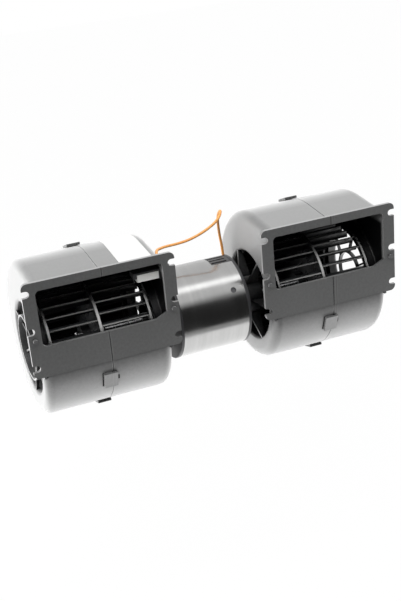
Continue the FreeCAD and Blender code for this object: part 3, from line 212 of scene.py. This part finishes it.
def blend(nodes, links, share, under, over):
    """One colour over another by a share; either may be a socket or a fixed colour."""
    mix = nodes.new("ShaderNodeMix")
    mix.data_type = "RGBA"
    for name, colour in (("A", under), ("B", over)):
        if isinstance(colour, tuple):
            mix.inputs[name].default_value = (*colour, 1)
        else:
            links.new(colour, mix.inputs[name])
    links.new(share, mix.inputs["Factor"])
    return mix.outputs["Result"]


def axes(nodes, links):
    """The three parts of a point's place, in metres."""
    where = nodes.new("ShaderNodeTexCoord")
    parts = nodes.new("ShaderNodeSeparateXYZ")
    links.new(where.outputs["Object"], parts.inputs["Vector"])
    return parts.outputs


def from_shaft(nodes, links):
    """Distance from the shaft's centre line, in metres."""
    place_of = axes(nodes, links)
    across = combine(nodes, links, "SUBTRACT", place_of["Y"], SHAFT_Y)
    squares = combine(nodes, links, "ADD", combine(nodes, links, "MULTIPLY", across, across),
                      combine(nodes, links, "MULTIPLY", place_of["Z"], place_of["Z"]))
    return combine(nodes, links, "SQRT", squares, 0.0)


def band(nodes, links, value, low, high, soft):
    """1 between two numbers and 0 outside them, with soft ends."""
    return combine(nodes, links, "MULTIPLY",
                   spread(nodes, links, value, low - soft, low + soft, 0.0, 1.0),
                   spread(nodes, links, value, high - soft, high + soft, 1.0, 0.0))


def joint_distance(nodes, links):
    """How far a point is from the nearer joint between half shells, along x, in metres."""
    along = axes(nodes, links)["X"]
    near = 1.0
    for joint in JOINTS:
        off = combine(nodes, links, "SUBTRACT", along, joint)
        near = combine(nodes, links, "MINIMUM", near,
                       combine(nodes, links, "ABSOLUTE", off, 0.0))
    return near


def duct_shade_mask(nodes, links):
    """1 on the inner faces of both outlet ducts, where painted shade makes them deep black:
    between the middles of their side walls, behind the mouth, under the rounded corner and
    clear of the bellmouths."""
    place_of = axes(nodes, links)
    across = combine(nodes, links, "ABSOLUTE", place_of["X"], 0.0)
    chosen = combine(nodes, links, "MULTIPLY",
                     band(nodes, links, across, *DUCT_SIDES, 0.0003),
                     band(nodes, links, place_of["Y"], *DUCT_DEPTH, 0.002))
    chosen = combine(nodes, links, "MULTIPLY", chosen,
                     band(nodes, links, place_of["Z"], *DUCT_HEIGHT, 0.002))
    outside = spread(nodes, links, from_shaft(nodes, links), *BELLMOUTH_RIM, 0.0, 1.0)
    return combine(nodes, links, "MULTIPLY", chosen, outside)


def housing_finish():
    """Black moulded plastic: fine spark-eroded grain over slow flow marks. Outside it has a
    sheen and a coat that pale it where light grazes it, with a paler band either side of
    each joint and a dark line in it; hollows, creases and the inside of the ducts are
    painted deep black as painted shade, with no sheen, coat or specular there."""
    made, nodes, links, shader = new_material("housing_plastic", (0.05, 0.051, 0.05), 0.4)
    where = place(nodes, links)
    flow = cloud(nodes, links, place(nodes, links, (1, 0.6, 0.6)), 22, 3)
    mottle = cloud(nodes, links, where, 380, 5, 0.7)
    # Painted shade: ambient occlusion and the duct mask darken the hollows and the inside of
    # the ducts, and take away their sheen, coat and specular.
    unshaded_share = combine(nodes, links, "MULTIPLY", openness(nodes, links, 0.06, 0.4, 0.7),
                   combine(nodes, links, "SUBTRACT", 1.0, duct_shade_mask(nodes, links)))
    outer = tint(nodes, links, spread(nodes, links, mottle, 0.3, 0.7, 0.0, 1.0),
                 (0.03, 0.031, 0.031), (0.07, 0.072, 0.071))
    joint = joint_distance(nodes, links)
    # A paler band runs either side of each joint, and a dark line lies in the joint itself.
    outer = blend(nodes, links, spread(nodes, links, joint, 0.0007, 0.0014, 1.0, 0.0), outer,
                  (0.1, 0.102, 0.1))
    outer = blend(nodes, links, spread(nodes, links, joint, 0.0003, 0.0006, 1.0, 0.0), outer,
                  (0.004, 0.004, 0.004))
    # Painted shade: creases and tight corners darkened where a short-reach ambient occlusion
    # finds them.
    outer = blend(nodes, links, openness(nodes, links, 0.003, 0.55, 0.9),
                  (0.006, 0.006, 0.006), outer)
    links.new(blend(nodes, links, unshaded_share, (0.003, 0.003, 0.0035), outer),
              shader.inputs["Base Color"])
    links.new(unshaded_share, shader.inputs["Sheen Weight"])
    links.new(unshaded_share, shader.inputs["Coat Weight"])
    shader.inputs["Sheen Roughness"].default_value = 0.5
    shader.inputs["Coat Roughness"].default_value = 0.35
    links.new(spread(nodes, links, unshaded_share, 0.0, 1.0, 0.1, 0.9),
              shader.inputs["Specular IOR Level"])
    grain = cloud(nodes, links, where, 1500, 3, 0.6)
    links.new(spread(nodes, links, flow, 0.3, 0.7, 0.36, 0.44), shader.inputs["Roughness"])
    relief(nodes, links, shader, flow, 0.0006, 0.35)
    relief(nodes, links, shader, grain, 0.00006, 0.7)
    return made


shell_plastic = housing_finish()
for shell in ("left_outer_shell", "left_inner_shell", "right_inner_shell",
              "right_outer_shell"):
    paint(shell, shell_plastic)


# Wheels: each one moulding in smooth black plastic, two rows of thin blades either side
# of a middle disc.
BLADE_TIPS = (0.0474, 0.0484)    # radii over which the painted highlight on the wheel's rim sets in


def wheel_finish():
    """Smooth black plastic with a satin gloss, with a painted highlight along the blades'
    tips and the rims of the disc and the end rings where they lie open, and painted shade,
    deep black, further in."""
    made, nodes, links, shader = new_material("wheel_plastic", (0.02, 0.021, 0.022), 0.3)
    drift = cloud(nodes, links, place(nodes, links, (0.3, 1, 1)), 90, 2)
    plain = tint(nodes, links, drift, (0.014, 0.015, 0.016), (0.024, 0.025, 0.026))
    # Painted shade: ambient occlusion darkens the wheel and lowers its specular further in.
    unshaded_share = openness(nodes, links, 0.05, 0.3, 0.65)
    highlight_open = openness(nodes, links, 0.12, 0.36, 0.58)
    rim = spread(nodes, links, from_shaft(nodes, links), *BLADE_TIPS, 0.0, 1.0)
    plain = blend(nodes, links, unshaded_share, (0.004, 0.004, 0.0045), plain)
    # Painted highlight: the rims are made pale where they lie open to the light.
    links.new(blend(nodes, links, combine(nodes, links, "MULTIPLY", rim, highlight_open), plain,
                    (0.6, 0.6, 0.59)), shader.inputs["Base Color"])
    links.new(spread(nodes, links, unshaded_share, 0.0, 1.0, 0.1, 0.7),
              shader.inputs["Specular IOR Level"])
    links.new(spread(nodes, links, drift, 0.3, 0.7, 0.24, 0.36), shader.inputs["Roughness"])
    relief(nodes, links, shader, cloud(nodes, links, place(nodes, links), 2200, 2), 0.00003)
    return made


blade_plastic = wheel_finish()
for wheel in ("left_wheel", "right_wheel"):
    paint(wheel, blade_plastic)


# Shaft, the spring rings that clamp the wheels' hubs on it, and the brush springs: bare
# steel, ground on the shaft and rolled on the springs.
def steel_finish(name, colour, roughness, stretch):
    """Bare steel with fine tool marks drawn out across one direction."""
    made, nodes, links, shader = new_material(name, colour, roughness, 1.0)
    marks = cloud(nodes, links, place(nodes, links, stretch), 900, 3, 0.6)
    dull = tuple(0.86 * part for part in colour)
    links.new(tint(nodes, links, marks, dull, colour), shader.inputs["Base Color"])
    links.new(spread(nodes, links, marks, 0.3, 0.7, roughness - 0.06, roughness + 0.08),
              shader.inputs["Roughness"])
    relief(nodes, links, shader, marks, 0.00001)
    return made


spring_steel = steel_finish("spring_steel", (0.5, 0.5, 0.5), 0.35, (1, 0.2, 0.2))
for band in ("left_wheel_clip", "right_wheel_clip", "upper_brush_spring",
             "lower_brush_spring"):
    paint(band, spring_steel)
paint("motor_shaft", steel_finish("ground_steel", (0.62, 0.62, 0.63), 0.22, (1, 0.1, 0.1)))


# Motor can: plated sheet steel rolled into a tube, satin, with broad soft bands round it
# where the sheet was drawn and sized.
def can_finish():
    """Plated sheet: bands round the tube, fine rolling marks and soft staining, with painted
    shade, near black, in the edges of its holes."""
    made, nodes, links, shader = new_material("can_steel", (0.62, 0.62, 0.61), 0.3, 1.0)
    bands = cloud(nodes, links, place(nodes, links, (1, 0.02, 0.02)), 110, 3, 0.6)
    stain = cloud(nodes, links, place(nodes, links), 35, 4)
    marks = cloud(nodes, links, place(nodes, links, (1, 0.04, 0.04)), 1600, 2)
    sheet = tint(nodes, links, bands, (0.34, 0.34, 0.337), (0.46, 0.46, 0.456))
    # Painted shade: near black where ambient occlusion finds the edges of holes.
    links.new(blend(nodes, links, openness(nodes, links, 0.008, 0.45, 0.8),
                    (0.01, 0.01, 0.01), sheet), shader.inputs["Base Color"])
    links.new(spread(nodes, links, stain, 0.3, 0.7, 0.15, 0.24), shader.inputs["Roughness"])
    relief(nodes, links, shader, marks, 0.000012)
    return made


paint("motor_can", can_finish())


# End plates: black-painted steel discs that close the can, with their bearing bosses in
# bright die-cast alloy.
def paint_finish():
    """Satin black paint with a faint orange-peel surface."""
    made, nodes, links, shader = new_material("end_plate_paint", (0.04, 0.04, 0.043), 0.35)
    peel = cloud(nodes, links, place(nodes, links), 420, 2)
    links.new(tint(nodes, links, peel, (0.034, 0.034, 0.037), (0.05, 0.05, 0.053)),
              shader.inputs["Base Color"])
    relief(nodes, links, shader, peel, 0.00005, 0.6)
    return made


def cast_finish():
    """Die-cast alloy: cloudy skin with a fine grain."""
    made, nodes, links, shader = new_material("cast_alloy", (0.7, 0.7, 0.71), 0.38, 1.0)
    skin = cloud(nodes, links, place(nodes, links), 120, 4, 0.6)
    links.new(tint(nodes, links, skin, (0.58, 0.58, 0.59), (0.76, 0.76, 0.77)),
              shader.inputs["Base Color"])
    links.new(spread(nodes, links, skin, 0.3, 0.7, 0.3, 0.46), shader.inputs["Roughness"])
    relief(nodes, links, shader, cloud(nodes, links, place(nodes, links), 1400, 3), 0.00003)
    return made


plate_paint = paint_finish()
boss_alloy = cast_finish()
for side in ("left", "right"):
    paint(side + "_end_plate", plate_paint)
    paint(side + "_bearing_housing", boss_alloy)
    paint(side + "_bearing", spring_steel)


# Rubber rings, the lead's grommet, the vent insert, the resistor's holder and the lead's
# plug: small black mouldings.
def black_moulding(name, colour, roughness):
    """Black rubber or plastic with a dusty, slightly uneven skin."""
    made, nodes, links, shader = new_material(name, colour, roughness)
    skin = cloud(nodes, links, place(nodes, links), 240, 3)
    light = tuple(1.5 * part for part in colour)
    links.new(tint(nodes, links, skin, colour, light), shader.inputs["Base Color"])
    links.new(spread(nodes, links, skin, 0.3, 0.7, roughness - 0.06, roughness + 0.08),
              shader.inputs["Roughness"])
    relief(nodes, links, shader, cloud(nodes, links, place(nodes, links), 1600, 2), 0.00004)
    return made


rubber = black_moulding("ring_rubber", (0.028, 0.028, 0.028), 0.62)
for soft in ("left_rubber_ring", "right_rubber_ring", "lead_grommet"):
    paint(soft, rubber)
paint("vent_insert", black_moulding("vent_plastic", (0.05, 0.05, 0.052), 0.45))
paint("resistor_holder", black_moulding("holder_plastic", (0.045, 0.045, 0.047), 0.45))
paint("lead_plug", black_moulding("plug_plastic", (0.06, 0.06, 0.062), 0.5))


# Screws that hold the housings to the motor's bosses: zinc-plated steel.
screw_zinc = steel_finish("screw_steel", (0.58, 0.57, 0.52), 0.32, (1, 1, 1))
for side in ("left", "right"):
    paint(side + "_motor_screws", screw_zinc)


# Speed resistor: a white ceramic body with a slightly porous surface.
def ceramic_finish():
    """White ceramic: fine pores and faint grey clouding."""
    made, nodes, links, shader = new_material("ceramic", (0.86, 0.86, 0.83), 0.55)
    clouding = cloud(nodes, links, place(nodes, links), 180, 4)
    links.new(tint(nodes, links, clouding, (0.9, 0.9, 0.87), (1.0, 1.0, 0.97)),
              shader.inputs["Base Color"])
    relief(nodes, links, shader, cloud(nodes, links, place(nodes, links), 1500, 3), 0.00006)
    return made


paint("resistor_block", ceramic_finish())


# Inside the motor: stacked core, copper, magnets and the brush gear.
paint("armature_core", steel_finish("core_steel", (0.3, 0.3, 0.31), 0.5, (6, 0.2, 0.2)))
paint("armature_windings", steel_finish("copper_wire", (0.72, 0.38, 0.2), 0.3, (0.2, 3, 3)))
paint("commutator", steel_finish("copper_bars", (0.75, 0.45, 0.28), 0.25, (1, 0.2, 0.2)))
magnet_ferrite = black_moulding("ferrite", (0.08, 0.08, 0.085), 0.6)
for magnet in ("front_magnet", "rear_magnet"):
    paint(magnet, magnet_ferrite)
paint("brush_card", black_moulding("card_plastic", (0.2, 0.12, 0.07), 0.5))
brush_carbon = black_moulding("carbon", (0.05, 0.05, 0.05), 0.5)
for brush in ("upper_brush", "lower_brush"):
    paint(brush, brush_carbon)


# Label: a blank self-adhesive film pressed over the left housing's top.
def label_finish():
    """White film: faint unevenness of the glue below it."""
    made, nodes, links, shader = new_material("label_film", (0.76, 0.76, 0.75), 0.4)
    glue = cloud(nodes, links, place(nodes, links), 70, 3)
    links.new(tint(nodes, links, glue, (0.73, 0.73, 0.72), (0.8, 0.8, 0.79)),
              shader.inputs["Base Color"])
    relief(nodes, links, shader, glue, 0.0001, 0.5)
    return made


paint("label", label_finish())


# Setting: a white floor and a white tent with one long bright strip in its roof. It is
# open, and so dark, in front.
def seen_white(nodes, links, rays, share, shown, otherwise, output):
    """One shader mixed by a share into what some kinds of ray see of another."""
    path = nodes.new("ShaderNodeLightPath")
    chosen = 0.0
    for kind in rays:
        chosen = combine(nodes, links, "MAXIMUM", chosen, path.outputs[kind])
    mix = nodes.new("ShaderNodeMixShader")
    links.new(combine(nodes, links, "MULTIPLY", chosen, share), mix.inputs["Fac"])
    links.new(otherwise, mix.inputs[1])
    links.new(shown, mix.inputs[2])
    links.new(mix.outputs["Shader"], output.inputs["Surface"])


def white_ground():
    """White for the eye and in metal, with a faint shadow, and plain and pale for light."""
    made, nodes, links, shader = new_material("floor", (0.8, 0.8, 0.8), 0.9)
    glow = nodes.new("ShaderNodeEmission")
    glow.inputs["Color"].default_value = (1, 1, 1, 1)
    seen_white(nodes, links, ("Is Camera Ray", "Is Glossy Ray", "Is Transmission Ray"), 0.94,
               glow.outputs["Emission"], shader.outputs["BSDF"], nodes["Material Output"])
    return made


FLOOR_REACH = 4.0
FLOOR_Z = -0.32
FLOOR_FRONT = -0.25

floor_mesh = bpy.data.meshes.new("floor")
floor_mesh.from_pydata([(-FLOOR_REACH, FLOOR_FRONT, FLOOR_Z),
                        (FLOOR_REACH, FLOOR_FRONT, FLOOR_Z),
                        (FLOOR_REACH, FLOOR_REACH, FLOOR_Z),
                        (-FLOOR_REACH, FLOOR_REACH, FLOOR_Z)], [], [(0, 1, 2, 3)])
floor_mesh.materials.append(white_ground())
floor = bpy.data.objects.new("floor", floor_mesh)
bpy.context.scene.collection.objects.link(floor)


ROOF_STRIP = 2.6       # glow of the long lamp in the tent's roof
TENT_SIDE = 1.0        # glow of its sides and back
OPEN_FRONT = 0.97      # how much of the light is missing in front

world = bpy.data.worlds.new("surround")
world.use_nodes = True
nodes, links = world.node_tree.nodes, world.node_tree.links
direction = nodes.new("ShaderNodeTexCoord")
parts = nodes.new("ShaderNodeSeparateXYZ")
links.new(direction.outputs["Generated"], parts.inputs["Vector"])
strip = combine(nodes, links, "MULTIPLY",
                spread(nodes, links, parts.outputs["Y"], -0.42, -0.3, 0.0, 1.0),
                spread(nodes, links, parts.outputs["Y"], -0.2, -0.08, 1.0, 0.0))
strip = combine(nodes, links, "MULTIPLY", strip,
                spread(nodes, links, parts.outputs["Z"], 0.7, 0.85, 0.0, 1.0))
roof = spread(nodes, links, strip, 0.0, 1.0, TENT_SIDE, ROOF_STRIP)
ahead = spread(nodes, links, parts.outputs["Y"], -0.62, -0.4, OPEN_FRONT, 0.0)
level = spread(nodes, links, parts.outputs["Z"], 0.42, 0.66, 1.0, 0.0)
missing = combine(nodes, links, "MULTIPLY", ahead, level)
glow = combine(nodes, links, "MULTIPLY", combine(nodes, links, "SUBTRACT", 1.0, missing),
               roof)
shown = nodes["Background"]
shown.inputs["Color"].default_value = (1, 1, 1, 1)
shown.inputs["Strength"].default_value = 1.0
unseen = nodes.new("ShaderNodeBackground")
unseen.inputs["Color"].default_value = (1, 1, 1, 1)
links.new(glow, unseen.inputs["Strength"])
seen_white(nodes, links, ("Is Camera Ray", "Is Transmission Ray"), 1.0,
           shown.outputs["Background"], unseen.outputs["Background"], nodes["World Output"])
bpy.context.scene.world = world


def lamp(name, position, target, size, watts):
    """A square soft lamp at a place, facing a target."""
    light = bpy.data.lights.new(name, "AREA")
    light.shape = "SQUARE"
    light.size = size
    light.energy = watts
    made = bpy.data.objects.new(name, light)
    made.location = position
    made.rotation_euler = (Vector(target) - Vector(position)).to_track_quat(
        "-Z", "Y").to_euler()
    bpy.context.scene.collection.objects.link(made)


lamp("left_lamp", (-1.1, 0.7, 0.1), (-0.1, 0.05, 0), 0.8, 9)
lamp("floor_lamp", (0.0, 0.06, -0.3), (0, 0.06, 0), 0.9, 1.3)
lamp("front_lamp", (-0.4, -0.9, 1.1), (0.0, 0.0, 0), 0.6, 8)

bpy.context.scene.view_settings.view_transform = "Standard"
